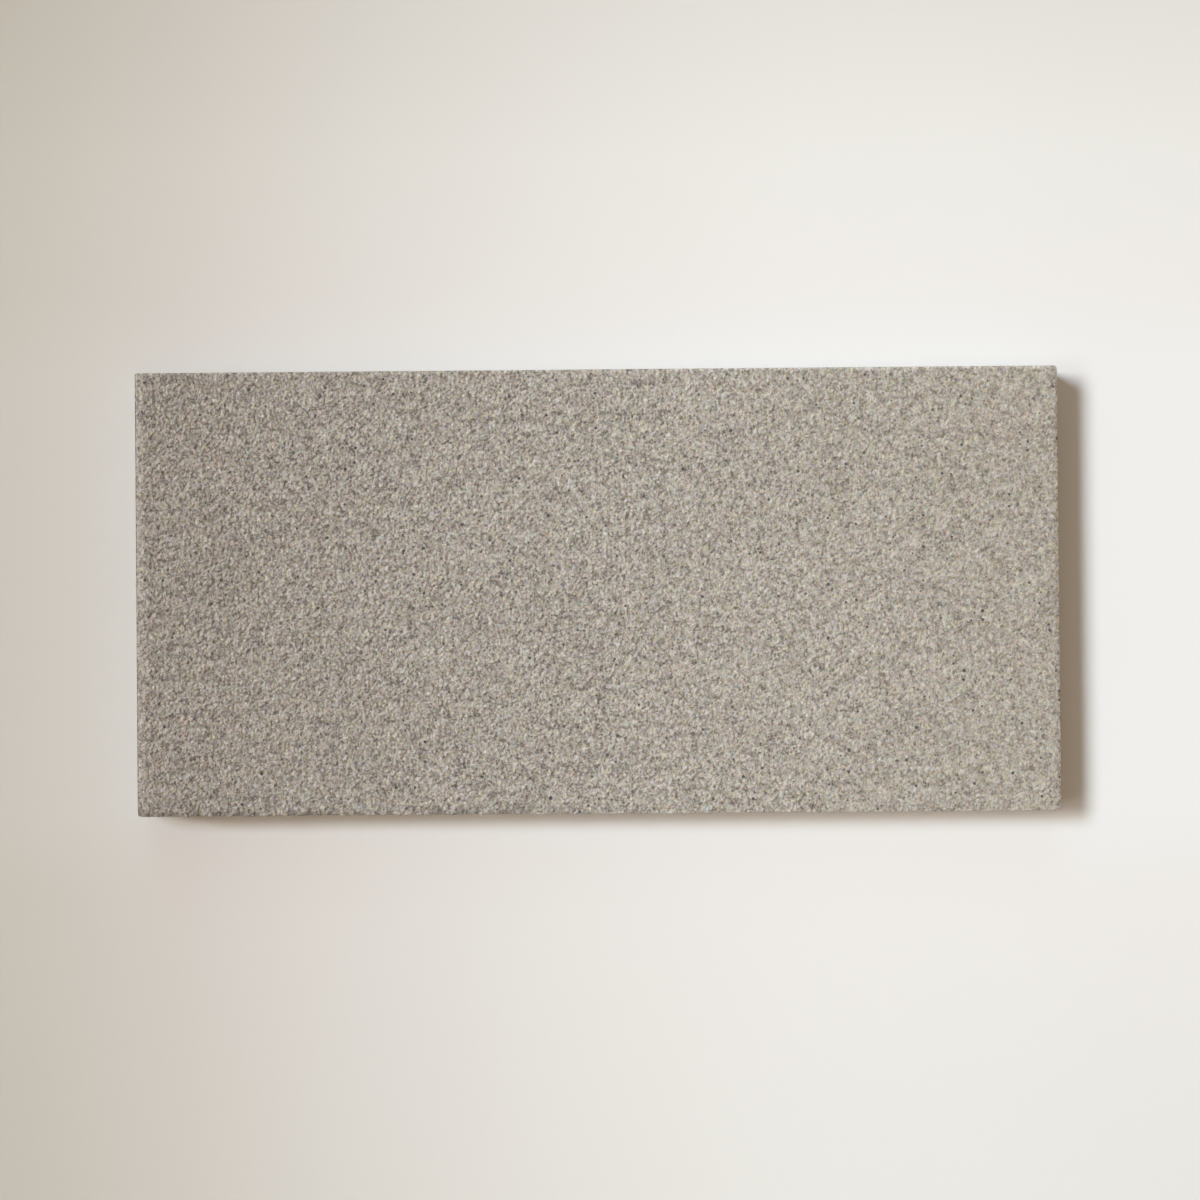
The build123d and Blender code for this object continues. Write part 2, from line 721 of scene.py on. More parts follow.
@dataclass
class FiredRelief:
    """The relief of fired clay, pressed inwards from the smooth skin, in metres.

    Attributes:
        grain: The depth of the single grains.
        mottle: The depth of the soft unevenness of a few millimetres.
        wave: The depth of the long waves of a flat extruded face.
        pit: The depth of the scattered pits.
        drag: The depth of the die's drag lines along the sides and the back.
        tear: The depth of the torn grain of the cut ends and the ribs' crests.
        worn: How far the upper edges are worn back, at most.
        grains: The noise of the grains.
        mottles: The noise of the soft unevenness.
        waves: The noise of the long waves.
        lines: The noise of the drag lines.
        wire: The noise of the marks that the cutting wire leaves.
        torn: The noise of torn grain.
        wear: The two noises whose product is the wear of the upper edges.
        face_pits: The pits of the face.
        edge_pits: The pits of the rubbed edge.
        crest: The height below which a rib's crest is torn.
        rim: How far below the face the relief of the sides and ends begins, and where it is full.
        calm: How much of that relief is missing beside the face.
        rubbed: How far the near edge is rubbed away at the left, at most.
        rubbed_reach: How far that reaches from the edge.
        rubbed_fall: How sharply it falls off with the distance from the edge.
        rubbed_along: Where along X it begins, and where it is strongest.
        shade_fall: How sharply the shade painted on the rubbed edge falls off with it.
        shade_parts: How much torn grain and pits add to that painted shade, and what they start from.
        crest_shade: How much torn grain adds painted shade to the ribs' crests.
        flattened: How far the left roll is pressed flat.
        flattened_reach: How far from the end it is pressed in full, and where that ends.
        nicks: The places where an edge has broken away.
    """

    grain: float = 0.05 * MM
    mottle: float = 0.04 * MM
    wave: float = 0.06 * MM
    pit: float = 0.14 * MM
    drag: float = 0.07 * MM
    tear: float = 0.10 * MM
    worn: float = 0.07 * MM
    grains: Noise = Noise(0.85 * MM, 11)
    mottles: Noise = Noise(2.7 * MM, 12)
    waves: Noise = Noise((60 * MM, 38 * MM, 20 * MM), 13)
    lines: Noise = Noise((26 * MM, 0.9 * MM, 0.8 * MM), 14)
    wire: Noise = Noise((1.0 * MM, 0.95 * MM, 5.5 * MM), 15)
    torn: Noise = Noise((1.6 * MM, 1.1 * MM, 1.2 * MM), 16)
    wear: tuple[Noise, Noise] = (Noise(7.0 * MM, 17), Noise(1.6 * MM, 18))
    face_pits: Pits = Pits(spacing=3.4 * MM, radius=0.75 * MM, share=0.16, seed=21)
    edge_pits: Pits = Pits(spacing=1.9 * MM, radius=0.75 * MM, share=0.5, seed=31)
    crest: float = 0.5 * MM
    rim: Pair = (0.9 * MM, 3.0 * MM)
    calm: float = 0.75
    rubbed: float = 0.70 * MM
    rubbed_reach: float = 4.2 * MM
    rubbed_fall: float = 1.3
    rubbed_along: Pair = (95 * MM, -92 * MM)
    shade_fall: float = 1.7
    shade_parts: tuple[float, float, float] = (6.5, 4.0, -2.35)
    crest_shade: float = 0.4
    flattened: float = 0.17 * MM
    flattened_reach: Pair = (0.9 * MM, 2.7 * MM)
    nicks: tuple[Nick, ...] = ()

    def depth(self, points: Array, normals: Array, skin: TileSkin) -> tuple[Array, Array]:
        """How far each point is pressed in, and how much of that is a hollow that holds shade.

        Each layer adds its depth times its noise, weighed by how far a point faces up, along X,
        along Y or down: the square of that part of its outward direction. The worn edges weigh
        4n(1 - n), with n the part upwards, which is 1 where n is a half.

        Args:
            points: Places on the smooth skin, shape (n, 3).
            normals: Outward directions there, shape (n, 3).
            skin: The smooth skin.

        Returns:
            Depths in metres, and hollows from 0 to DEEPEST for the painted shade, both of shape (n,).
        """
        level = np.clip(normals[:, 2], 0, 1)
        up = level**2
        end = normals[:, 0] ** 2
        side = normals[:, 1] ** 2 * (points[:, 2] > skin.grooves.depth)
        under = 1 - np.clip(up + end + side, 0, 1)
        crest = under * (points[:, 2] < self.crest)
        torn = self.torn.at(points)
        pits = self.face_pits.at(points)
        calm = 1 - self.calm * (1 - up) * (1 - ramp_between(skin.thickness - points[:, 2], *self.rim))
        fine = self.grain * self.grains.at(points) + self.mottle * self.mottles.at(points)
        depth = fine * calm + up * (self.wave * self.waves.at(points) + self.pit * pits)
        depth += self.drag * self.lines.at(points) * (calm * side + under)
        depth += self.tear * (calm * end * (self.wire.at(points) + torn) / 2 + crest * torn)
        depth += 4 * level * (1 - level) * self.worn * self.wear[0].at(points) * self.wear[1].at(points)
        depth += self.flattened * up * self.pressing(points, skin)
        # Painted shade: the face's pits, the rubbed near edge with its pits, and the ribs' crests
        by_grain, by_pits, start = self.shade_parts
        shade = by_grain * torn + start + by_pits * self.edge_pits.at(points)
        rough = self.rubbing(points, skin) ** self.shade_fall * shade
        return depth, np.clip(up * pits + rough + self.crest_shade * crest * torn, 0, DEEPEST)

    def worn_back(self, points: Array, skin: TileSkin) -> Array:
        """How far the rubbed near edge and the nicked corners are moved inwards.

        The edge goes back along its bisector and a corner along its diagonal, so that no two
        points cross. Along the edge, torn grain and pits make the depth uneven.

        Args:
            points: Places on the smooth skin, shape (n, 3).
            skin: The smooth skin.

        Returns:
            The moves in metres, shape (n, 3).
        """
        uneven = self.rubbed * self.torn.at(points) + self.pit * self.edge_pits.at(points)
        back = self.rubbing(points, skin) * uneven
        moves = back[:, None] * np.array([0.0, 1.0, -1.0]) / math.sqrt(2)
        for nick in self.nicks:
            centre = np.asarray(nick.centre)
            squared = ((points - centre) ** 2).sum(axis=1) / nick.radius**2
            bowl = np.clip(1 - squared, 0, None) ** 2
            moves -= nick.depth * bowl[:, None] * np.sign(centre) / math.sqrt(3)
        return moves

    def rubbing(self, points: Array, skin: TileSkin) -> Array:
        """How strongly the near edge is rubbed: most at the left, and less along it to the right.

        Across the edge it falls to 0 at its reach r, by (1 - d/r) to the power of its fall, with
        d the distance from the edge.

        Args:
            points: Places on the smooth skin, shape (n, 3).
            skin: The smooth skin.

        Returns:
            Strengths from 0 to 1, shape (n,).
        """
        start, full = self.rubbed_along
        along = ramp_between(-points[:, 0], -start, -full)
        away = np.hypot(skin.width / 2 + points[:, 1], skin.thickness - points[:, 2])
        return along * np.clip(1 - away / self.rubbed_reach, 0, 1) ** self.rubbed_fall

    def pressing(self, points: Array, skin: TileSkin) -> Array:
        """How strongly the left roll is pressed: 1 at the end, and 0 just inside the roll."""
        return 1 - ramp_between(skin.length / 2 + points[:, 0], *self.flattened_reach)


@dataclass(frozen=True)
class SurfaceMarks:
    """Numbers by which the finish tells the parts of the skin apart.

    The pairs say where a number leaves 0 and where it reaches 1. The parts of the outward
    direction along X, Y and Z are 1 where the surface faces straight along that axis. One of the
    numbers marks where a highlight is painted on the arrises.

    Attributes:
        cut: The direction's part along X, on the cut ends.
        slid: Its part along Y or downwards, on the sides and the back.
        below: The distance below the face, on the sides and the back.
        raised: The direction's part upwards, on the arrises with a painted highlight.
        along: The place on X, on those arrises.
        fade: Where over its reach an arris's painted highlight is full, and where it has gone.
        far_reach: How far the far arris's painted highlight reaches over the face.
        near_reach: How far the near one's does.
        near_strength: How strong the near painted highlight is beside the far one.
    """

    cut: Pair = (0.8, 0.99)
    slid: Pair = (0.75, 0.97)
    below: Pair = (0.5 * MM, 1.5 * MM)
    raised: Pair = (0.1, 0.7)
    along: Pair = (-160 * MM, 110 * MM)
    fade: Pair = (0.2, 1.0)
    far_reach: float = 0.9 * MM
    near_reach: float = 0.3 * MM
    near_strength: float = 0.3

    def at(self, points: Array, normals: Array, skin: TileSkin) -> dict[str, Array]:
        """The numbers of these points, each a product of ramps.

        Args:
            points: Places on the smooth skin, shape (n, 3).
            normals: Outward directions there, shape (n, 3).
            skin: The smooth skin.

        Returns:
            Numbers from 0 to 1, each of shape (n,), by the names of their attributes.
        """
        far = points[:, 1] > 0
        level = np.maximum(np.abs(normals[:, 1]), -normals[:, 2])
        below = ramp_between(skin.thickness - points[:, 2], *self.below)
        inset = skin.width / 2 - np.abs(points[:, 1])
        ridge = 1 - ramp_between(inset / np.where(far, self.far_reach, self.near_reach), *self.fade)
        above = ramp_between(normals[:, 2], *self.raised)
        strength = np.where(far, 1.0, self.near_strength)
        return {
            "cut": ramp_between(np.abs(normals[:, 0]), *self.cut),
            "dragged": below * ramp_between(level, *self.slid),
            # pale: a painted highlight on the arrises, strongest on the far one and towards the right end
            "pale": strength * ridge * above * ramp_between(points[:, 0], *self.along),
        }


# Finishes


class NodeSheet:
    """The node tree of a material or a world, with short names for the nodes in it."""

    # The places of a colour mix among the sockets of its node
    PART, FIRST, SECOND, MIXED = 0, 6, 7, 2

    def __init__(self, owner: bpy.types.Material | bpy.types.World) -> None:
        """Starts an empty tree.

        Args:
            owner: The material or the world.
        """
        self.owner = owner
        owner.use_nodes = True
        self.tree = owner.node_tree
        self.tree.nodes.clear()

    def node(self, kind: str, inputs: dict[str | int, object], **settings: str) -> bpy.types.Node:
        """Adds a node.

        Args:
            kind: Its type.
            inputs: What its sockets are given, by their names or places.
            settings: Its settings.

        Returns:
            The node.
        """
        made = self.tree.nodes.new(kind)
        for name, value in settings.items():
            setattr(made, name, value)
        for name, value in inputs.items():
            self.feed(made.inputs[name], value)
        return made

    def feed(self, socket: Socket, value: object) -> None:
        """Puts a value on a socket, or links another node's output to it.

        Args:
            socket: The socket.
            value: A number, a colour, a vector or an output.
        """
        if isinstance(value, Socket):
            self.tree.links.new(value, socket)
        elif isinstance(value, tuple) and socket.type == "RGBA":
            socket.default_value = (*value, 1.0)
        else:
            socket.default_value = value

    def place(self) -> Socket:
        """The object's own coordinates."""
        return self.node("ShaderNodeTexCoord", {}).outputs["Object"]

    def axis(self, place: Socket, name: str) -> Socket:
        """The coordinate along one axis, X, Y or Z."""
        return self.node("ShaderNodeSeparateXYZ", {"Vector": place}).outputs[name]

    def channels(self, colour: Socket) -> bpy.types.NodeOutputs:
        """The Red, Green and Blue of a colour."""
        return self.node("ShaderNodeSeparateColor", {"Color": colour}).outputs

    def drawn_out(self, place: Socket, times: float) -> Socket:
        """The coordinates drawn out along X, so that a pattern's lumps become streaks."""
        inputs = {"Vector": place, "Scale": (1 / times, 1.0, 1.0)}
        return self.node("ShaderNodeMapping", inputs).outputs["Vector"]

    def attribute(self, name: str) -> Socket:
        """A number that the mesh carries at its points."""
        return self.node("ShaderNodeAttribute", {}, attribute_name=name).outputs["Fac"]

    def noise(self, place: Socket, size: float, detail: float = 1.0) -> bpy.types.NodeOutputs:
        """Soft noise whose lumps are about this size, in metres."""
        inputs = {"Vector": place, "Scale": 1 / size, "Detail": detail}
        return self.node("ShaderNodeTexNoise", inputs, noise_dimensions="3D").outputs

    def cells(self, place: Socket, size: float) -> bpy.types.NodeOutputs:
        """Random cells of this size, in metres."""
        inputs = {"Vector": place, "Scale": 1 / size}
        return self.node("ShaderNodeTexVoronoi", inputs, voronoi_dimensions="3D", feature="F1").outputs

    def math(self, operation: str, *values: object) -> Socket:
        """One sum on numbers or outputs."""
        return self.node("ShaderNodeMath", dict(enumerate(values)), operation=operation).outputs["Value"]

    def span(
        self, value: object, low: float, high: float, to_low: float = 0.0, to_high: float = 1.0
    ) -> Socket:
        """A number moved from one range to another, and held inside it."""
        inputs = {"Value": value, "From Min": low, "From Max": high, "To Min": to_low, "To Max": to_high}
        return self.node("ShaderNodeMapRange", inputs).outputs["Result"]

    def mix(self, part: object, first: object, second: object, blend: str = "MIX") -> Socket:
        """Two colours mixed by a number."""
        inputs = {self.PART: part, self.FIRST: first, self.SECOND: second}
        return self.node("ShaderNodeMix", inputs, data_type="RGBA", blend_type=blend).outputs[self.MIXED]

    def tinted(self, colour: object, tint: object) -> Socket:
        """A colour multiplied by a tint."""
        return self.mix(1.0, colour, tint, "MULTIPLY")

    def ramp(self, value: object, stops: tuple[tuple[float, Colour], ...]) -> Socket:
        """A colour for each number, straight between the stops.

        Args:
            value: The number.
            stops: Numbers from 0 to 1, in rising order, each with its colour.

        Returns:
            The output with the colour.
        """
        made = self.node("ShaderNodeValToRGB", {"Fac": value})
        elements = made.color_ramp.elements
        while len(elements) < len(stops):
            elements.new(1.0)
        for element, (position, colour) in zip(elements, stops):
            element.position = position
            element.color = (*colour, 1.0)
        return made.outputs["Color"]

    def surface(self, inputs: dict[str, object]) -> bpy.types.Material:
        """Ends a material's tree in one shader.

        Args:
            inputs: What the shader's sockets are given, by their names.

        Returns:
            The material.
        """
        shader = self.node("ShaderNodeBsdfPrincipled", inputs)
        self.node("ShaderNodeOutputMaterial", {"Surface": shader.outputs["BSDF"]})
        return self.owner


@dataclass(frozen=True)
class Speck:
    """One kind of scattered round spot in the clay.

    Attributes:
        spacing: The cell that may hold one, in metres.
        radius: The largest one's radius, in metres.
        rare: The part of the cells that hold none.
        soft: The width of its edge, as a part of the spacing.
        colour: Its colour.
        cover: How much it hides what is under it, from 0 to 1.
        depth: How far it lies under the grains, in the finish's relief.
        inwards: Which part of the edge's width lies inside the outline.
    """

    spacing: float
    radius: float
    rare: float
    soft: float
    colour: Colour
    cover: float
    depth: float = 0.0
    inwards: float = 0.7

    def held(self, sheet: NodeSheet, place: Socket) -> Socket:
        """Where the spots of this kind lie, from 0 outside them to 1 inside.

        A random cell's middle holds a ball whose radius grows with a random number of the cell,
        from none at `rare` to the largest, and the surface cuts through the balls.

        Args:
            sheet: The material's node tree.
            place: The coordinates.

        Returns:
            The output with the number.
        """
        cells = sheet.cells(place, self.spacing)
        chance = sheet.channels(cells["Color"])["Red"]
        radius = sheet.span(chance, self.rare, 1.0, 0.0, self.radius / self.spacing)
        inside = sheet.math("SUBTRACT", radius, cells["Distance"])
        return sheet.span(inside, (self.inwards - 1) * self.soft, self.inwards * self.soft)


@dataclass(frozen=True)
class SpeckledClay:
    """Unglazed clinker: cream, grey-brown and dark grains of well under a millimetre.

    Attributes:
        name: The material's name.
        grain: The size of a grain.
        fine: The size of the finest mottling.
        soft: The size of the softer mottling.
        strengths: How much the grains, the fine mottling and the soft one change the tone.
        tones: The colours from the darkest grains to the palest, by the tone that they start at.
        half_length: How far from the middle the ends' tints and contrast are reached.
        calmer: How much of the tones' contrast is left at the right end.
        hue_size: The size of the spots of one tint.
        hue_span: The noise at which a tint is all of the first kind, and all of the second.
        warmth: The coolest and the warmest tint.
        cast: The pinkest and the greenest tint.
        cloud: The size of the faint clouds over the face.
        clouds: Their darkest and their palest tint.
        ends: The tints of the left and the right end of the tile.
        cut: The tint of the cut ends.
        dragged: The darkest tint of the sides and the back, which slid along the die.
        smoother: How much of the grains' height is left there.
        streak: The width of the die's drag lines there.
        streak_length: How many times longer than wide they are.
        streak_span: The noise at which a line is at its faintest, and at its darkest.
        streak_least: How dark the faintest is beside the darkest.
        streak_depth: How deep the darkest is, in the finish's relief.
        painted_arris_highlight: A painted highlight on the arrises, a paler and cooler tint for the light
            they catch.
        specks: The scattered spots, from the commonest to the rarest.
        shade: The colour of the shade painted into the hollows.
        shade_cover: How much that painted shade hides the clay in the deepest of them.
        roughness: The least and the greatest roughness.
        rough_span: The tones that have them.
        gloss: The strength of its reflections.
        relief: The height of the grains at the middle of the tile.
        fresher: How much higher they stand towards the left end, and lower towards the right.
        fresh_reach: How far from the middle that is reached.
        bump_size: The size of the bumps.
        fine_height: How much the finest mottling adds to them.
    """

    name: str = "speckled_clay"
    grain: float = 0.76 * MM
    fine: float = 0.54 * MM
    soft: float = 1.9 * MM
    strengths: tuple[float, float, float] = (0.45, 1.28, 0.73)
    tones: tuple[tuple[float, Colour], ...] = (
        (0.00, (0.116, 0.097, 0.081)),
        (0.25, (0.268, 0.230, 0.193)),
        (0.50, (0.418, 0.371, 0.316)),
        (0.75, (0.549, 0.500, 0.434)),
        (1.00, (0.657, 0.611, 0.545)),
    )
    half_length: float = 0.12
    calmer: float = 0.80
    hue_size: float = 0.88 * MM
    hue_span: Pair = (0.25, 0.75)
    warmth: tuple[Colour, Colour] = ((0.928, 0.973, 1.110), (1.072, 1.027, 0.890))
    cast: tuple[Colour, Colour] = ((1.042, 0.948, 1.014), (0.958, 1.052, 0.986))
    cloud: float = 22 * MM
    clouds: tuple[Colour, Colour] = ((0.955, 0.950, 0.945), (1.045, 1.050, 1.055))
    ends: tuple[Colour, Colour] = ((0.962, 0.974, 0.994), (0.967, 0.966, 0.941))
    cut: Colour = (0.76, 0.75, 0.73)
    dragged: Colour = (0.74, 0.72, 0.69)
    smoother: float = 0.5
    streak: float = 0.9 * MM
    streak_length: float = 40.0
    streak_span: Pair = (0.3, 0.7)
    streak_least: float = 0.15
    streak_depth: float = 0.3
    # A painted highlight: the cool light that the arrises catch, laid on as a paler tint
    painted_arris_highlight: Colour = (1.28, 1.31, 1.36)
    specks: tuple[Speck, ...] = (
        Speck(7.0 * MM, 0.95 * MM, 0.45, 0.10, (0.640, 0.595, 0.515), 0.42),
        Speck(1.75 * MM, 0.38 * MM, 0.40, 0.10, (0.102, 0.096, 0.088), 0.88, 0.15),
        Speck(2.5 * MM, 0.47 * MM, 0.45, 0.05, (0.044, 0.044, 0.045), 0.90, 0.20),
    )
    shade: Colour = (0.135, 0.115, 0.096)
    shade_cover: float = 0.72
    roughness: Pair = (0.70, 0.90)
    rough_span: Pair = (0.2, 0.8)
    gloss: float = 0.5
    relief: float = 0.55 * MM
    fresher: float = 0.4
    fresh_reach: float = 0.11
    bump_size: float = 1.0 * MM
    fine_height: float = 0.2

    def build(self) -> bpy.types.Material:
        """The material, on the object's own coordinates.

        The tone picks the colour of the clay, tints and scattered specks lie over it, a highlight is
        painted on the arrises, and shade is painted into the hollows. Noise of the grains' own size
        lifts them, and the dark specks are little hollows.

        Returns:
            The material.
        """
        sheet = NodeSheet(bpy.data.materials.new(self.name))
        place = sheet.place()
        x = sheet.axis(place, "X")
        fine = sheet.noise(place, self.fine)["Fac"]
        tone = self.tone(sheet, place, x, fine)
        dragged = sheet.attribute("dragged")
        streaks = sheet.noise(sheet.drawn_out(place, self.streak_length), self.streak)["Fac"]
        streaks = sheet.span(streaks, *self.streak_span, self.streak_least, 1.0)
        streaks = sheet.math("MULTIPLY", dragged, streaks)
        colour = self.tinted(sheet, place, x, sheet.ramp(tone, self.tones), streaks)
        lumps = sheet.noise(place, self.bump_size)["Fac"]
        height = sheet.math("MULTIPLY_ADD", fine, self.fine_height, lumps)
        height = sheet.math("MULTIPLY_ADD", streaks, -self.streak_depth, height)
        for speck in self.specks:
            held = speck.held(sheet, place)
            colour = sheet.mix(sheet.math("MULTIPLY", held, speck.cover), colour, speck.colour)
            if speck.depth:
                height = sheet.math("MULTIPLY_ADD", held, -speck.depth, height)
        # Painted shade in the hollows: the pits, the rubbed near edge and the ribs' crests
        shade = sheet.span(sheet.attribute("hollow"), 0.0, DEEPEST, 0.0, self.shade_cover)
        colour = sheet.mix(shade, colour, self.shade)
        fresh = sheet.span(x, -self.fresh_reach, self.fresh_reach, 1 + self.fresher, 1 - self.fresher)
        for factor in (fresh, sheet.span(dragged, 0.0, 1.0, 1.0, self.smoother)):
            height = sheet.math("MULTIPLY", height, factor)
        bump = {"Distance": self.relief, "Strength": 1.0, "Height": height}
        return sheet.surface({
            "Base Color": colour,
            "Roughness": sheet.span(tone, *self.rough_span, *self.roughness),
            "Normal": sheet.node("ShaderNodeBump", bump).outputs["Normal"],
            "Specular IOR Level": self.gloss,
        })

    def tone(self, sheet: NodeSheet, place: Socket, x: Socket, fine: Socket) -> Socket:
        """How pale the clay is, from 0 to 1 and about a half on average.

        Random cells give each grain a number, and fine and soft noise break the grains up. Each
        of the three adds its strength times its distance from a half. Towards the right end the
        tone's own distance from a half shrinks.

        Args:
            sheet: The material's node tree.
            place: The coordinates.
            x: The coordinate along X.
            fine: The fine noise.

        Returns:
            The output with the tone.
        """
        grains = sheet.channels(sheet.cells(place, self.grain)["Color"])["Red"]
        soft = sheet.noise(place, self.soft)["Fac"]
        tone: object = 0.5 - 0.5 * sum(self.strengths)
        for part, strength in zip((grains, fine, soft), self.strengths):
            tone = sheet.math("MULTIPLY_ADD", part, strength, tone)
        even = sheet.span(x, 0.0, self.half_length, 1.0, self.calmer)
        return sheet.math("MULTIPLY_ADD", sheet.math("SUBTRACT", tone, 0.5), even, 0.5)

    def tinted(
        self, sheet: NodeSheet, place: Socket, x: Socket, colour: Socket, streaks: Socket
    ) -> Socket:
        """The colour under all the tints, each mixed from two by a number.

        Args:
            sheet: The material's node tree.
            place: The coordinates.
            x: The coordinate along X.
            colour: The colour of the grains.
            streaks: How dark the drag lines are.

        Returns:
            The output with the tinted colour.
        """
        hue = sheet.channels(sheet.noise(place, self.hue_size)["Color"])
        tints = (
            (sheet.span(hue["Green"], *self.hue_span), self.warmth),
            (sheet.span(hue["Blue"], *self.hue_span), self.cast),
            (sheet.noise(place, self.cloud)["Fac"], self.clouds),
            (sheet.span(x, -self.half_length, self.half_length), self.ends),
            (sheet.attribute("cut"), (WHITE, self.cut)),
            (streaks, (WHITE, self.dragged)),
            # The painted highlight of the arrises
            (sheet.attribute("pale"), (WHITE, self.painted_arris_highlight)),
        )
        for part, tint in tints:
            colour = sheet.tinted(colour, sheet.mix(part, *tint))
        return colour


@dataclass(frozen=True)
class PalePaint:
    """The plain pale floor under the tile.

    Attributes:
        name: The material's name.
        colour: Its colour.
        mottle: The size of its faint mottling.
        mottle_detail: How fine that goes.
        mottle_pale: How much paler its palest spots are, as a factor.
        reach: How far from the middle, along Y, the painted falloff goes.
        painted_falloff: Painted shade for the light's falloff, from in front of the tile to behind it.
        left: Its tint at the left.
        left_along: Where along X that begins, and where it is full.
        roughness: Its roughness.
        gloss: The strength of its reflections.
    """

    name: str = "pale_floor"
    colour: Colour = (0.88, 0.865, 0.84)
    mottle: float = 30 * MM
    mottle_detail: float = 3.0
    mottle_pale: float = 1.01
    reach: float = 0.16
    painted_falloff: tuple[tuple[float, Colour], ...] = (
        (0.00, (0.930, 0.925, 0.900)),
        (0.25, (0.970, 0.958, 0.945)),
        (0.32, (1.000, 1.000, 1.000)),
        (0.68, (1.000, 1.000, 1.000)),
        (0.75, (0.978, 0.965, 0.950)),
        (0.86, (0.955, 0.948, 0.922)),
        (1.00, (0.870, 0.857, 0.825)),
    )
    left: Colour = (1.0, 1.03, 1.02)
    left_along: Pair = (-0.11, -0.15)
    roughness: float = 0.8
    gloss: float = 0.2

    def build(self) -> bpy.types.Material:
        """A matt paint with the faintest mottling, a shade darker farther from the tile.

        Returns:
            The material.
        """
        sheet = NodeSheet(bpy.data.materials.new(self.name))
        place = sheet.place()
        mottle = sheet.noise(place, self.mottle, self.mottle_detail)["Fac"]
        pale = tuple(min(1.0, self.mottle_pale * part) for part in self.colour)
        # Painted shade: the floor is darker farther from the tile along Y, for the falloff of the light
        painted_falloff = sheet.ramp(sheet.span(sheet.axis(place, "Y"), -self.reach, self.reach), self.painted_falloff)
        leftward = sheet.span(sheet.axis(place, "X"), *self.left_along)
        shade = sheet.tinted(painted_falloff, sheet.mix(leftward, WHITE, self.left))
        return sheet.surface({
            "Base Color": sheet.tinted(sheet.mix(mottle, self.colour, pale), shade),
            "Roughness": self.roughness,
            "Specular IOR Level": self.gloss,
        })


# The tile, its floor, the light and the camera


def placed(name: str, data: bpy.types.ID) -> bpy.types.Object:
    """Adds an object to the scene.

    Args:
        name: Its name.
        data: Its mesh, lamp or camera.

    Returns:
        The object.
    """
    made = bpy.data.objects.new(name, data)
    bpy.context.scene.collection.objects.link(made)
    return made


def level_sheet(name: str, x_line: Array, y_line: Array, height: float) -> bpy.types.Object:
    """A new level object of the scene, with its faces upwards.

    Args:
        name: Its name.
        x_line: The places along X of its points.
        y_line: Their places along Y.
        height: Its height over the tile's back.

    Returns:
        The object.
    """
    x, y = np.meshgrid(x_line, y_line, indexing="ij")
    grid = Grid(np.stack([x, y, np.full_like(x, height)], axis=-1), np.stack([x, y], axis=-1))
    mesh = bpy.data.meshes.new(name)
    mesh.from_pydata(grid.points.reshape(-1, 3), [], grid.quads()[:, ::-1].tolist())
    return placed(name, mesh)


@dataclass
class ClinkerTile:
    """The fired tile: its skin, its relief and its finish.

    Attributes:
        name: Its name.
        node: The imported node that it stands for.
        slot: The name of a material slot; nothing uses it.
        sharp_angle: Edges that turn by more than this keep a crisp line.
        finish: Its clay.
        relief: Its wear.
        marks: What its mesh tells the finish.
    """

    name: str = "fired_tile"
    node: str = "tile"
    slot: str = "fired_clay"
    sharp_angle: float = math.radians(48)
    finish: SpeckledClay = SpeckledClay()
    relief: FiredRelief = field(default_factory=FiredRelief)
    marks: SurfaceMarks = SurfaceMarks()

    def build(self) -> bpy.types.Object:
        """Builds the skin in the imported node's box, wears it and dresses it.

        Returns:
            The tile.
        """
        low, high = (np.array(corner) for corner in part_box(self.node))
        skin = TileSkin(*(high - low))
        self.relief.nicks = self.corner_nicks(skin)
        mesh = skin.mesh(self.name)
        self.wear(mesh, skin)
        mesh.set_sharp_from_angle(angle=self.sharp_angle)
        mesh.materials.append(self.finish.build())
        tile = placed(self.name, mesh)
        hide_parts(self.node)
        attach(tile, "root")
        report(tile)
        return tile

    def corner_nicks(self, skin: TileSkin) -> tuple[Nick, ...]:
        """The nipped corner at the far right, and the softened one at the near left.

        Args:
            skin: The smooth skin.

        Returns:
            The nicks, a little below the face.
        """
        x, y, z = skin.length / 2, skin.width / 2, skin.thickness
        return (
            Nick(centre=(x, y, z - 0.3 * MM), radius=1.1 * MM, depth=0.25 * MM),
            Nick(centre=(-x, -y, z - 0.4 * MM), radius=0.9 * MM, depth=0.08 * MM),
        )

    def wear(self, mesh: bpy.types.Mesh, skin: TileSkin) -> None:
        """Presses the relief into the mesh, which is then brought back to its full size.

        Each point keeps how hollow it is, which sets the shade painted there, and the numbers of the
        marks.

        Args:
            mesh: The smooth skin's mesh.
            skin: The smooth skin.
        """
        count = len(mesh.vertices)
        points, normals = np.empty(count * 3), np.empty(count * 3)
        mesh.vertices.foreach_get("co", points)
        mesh.vertices.foreach_get("normal", normals)
        points, normals = points.reshape(-1, 3), normals.reshape(-1, 3)
        depth, hollow = self.relief.depth(points, normals, skin)
        worn = points - normals * depth[:, None] + self.relief.worn_back(points, skin)
        low, high = worn.min(axis=0), worn.max(axis=0)
        size = np.array([skin.length, skin.width, skin.thickness])
        foot = np.array([skin.length / 2, skin.width / 2, 0.0])
        worn = (worn - low) / (high - low) * size - foot
        mesh.vertices.foreach_set("co", worn.ravel())
        kept = {"hollow": hollow, **self.marks.at(points, normals, skin)}
        for name, numbers in kept.items():
            layer = mesh.attributes.new(name, "FLOAT", "POINT")
            layer.data.foreach_set("value", numbers.astype(np.float32))
        mesh.update()


@dataclass
class StudioFloor:
    """A wide flat floor that the tile lies on.

    Attributes:
        size: Its length and width.
        cells: The number of its cells each way.
        finish: Its paint.
    """

    size: float = 6.0
    cells: int = 12
    finish: PalePaint = PalePaint()

    def build(self) -> bpy.types.Object:
        """A flat grid at the height of the tile's back.

        Returns:
            The floor.
        """
        line = np.linspace(-self.size / 2, self.size / 2, self.cells + 1)
        floor = level_sheet("studio_floor", line, line, 0.0)
        floor.data.materials.append(self.finish.build())
        report(floor)
        return floor


